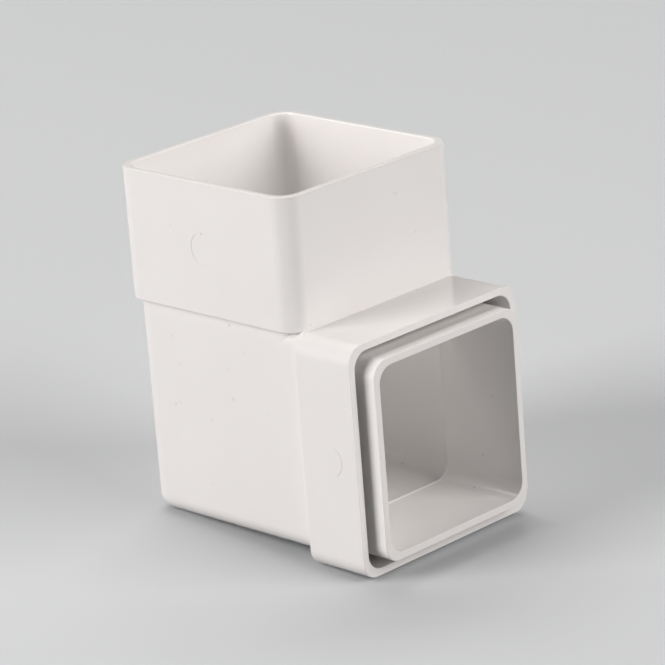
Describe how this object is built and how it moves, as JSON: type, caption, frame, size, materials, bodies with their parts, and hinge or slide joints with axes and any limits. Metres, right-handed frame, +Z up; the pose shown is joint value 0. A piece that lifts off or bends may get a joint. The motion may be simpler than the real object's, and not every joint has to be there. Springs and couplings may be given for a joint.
{
  "type": "square downpipe bend",
  "caption": "Right-angle bend for a square rainwater downpipe: a plain upper socket takes the pipe above, and a collared spigot at the side outlet takes the pipe below.",
  "frame": {"origin": "on the axis of the upper socket, level with the ledge where the end of the downpipe stops", "axes": "+Z up the axis of the socket and out of its mouth, -Y along the outlet and out of it, X across the bend"},
  "size_m": [0.0705, 0.0958, 0.111],
  "materials": {
    "pvc_white": "white moulded PVC-U with a soft gloss"
  },
  "bodies": {
    "root": {"bend": "pvc_white"}
  },
  "joints": []
}
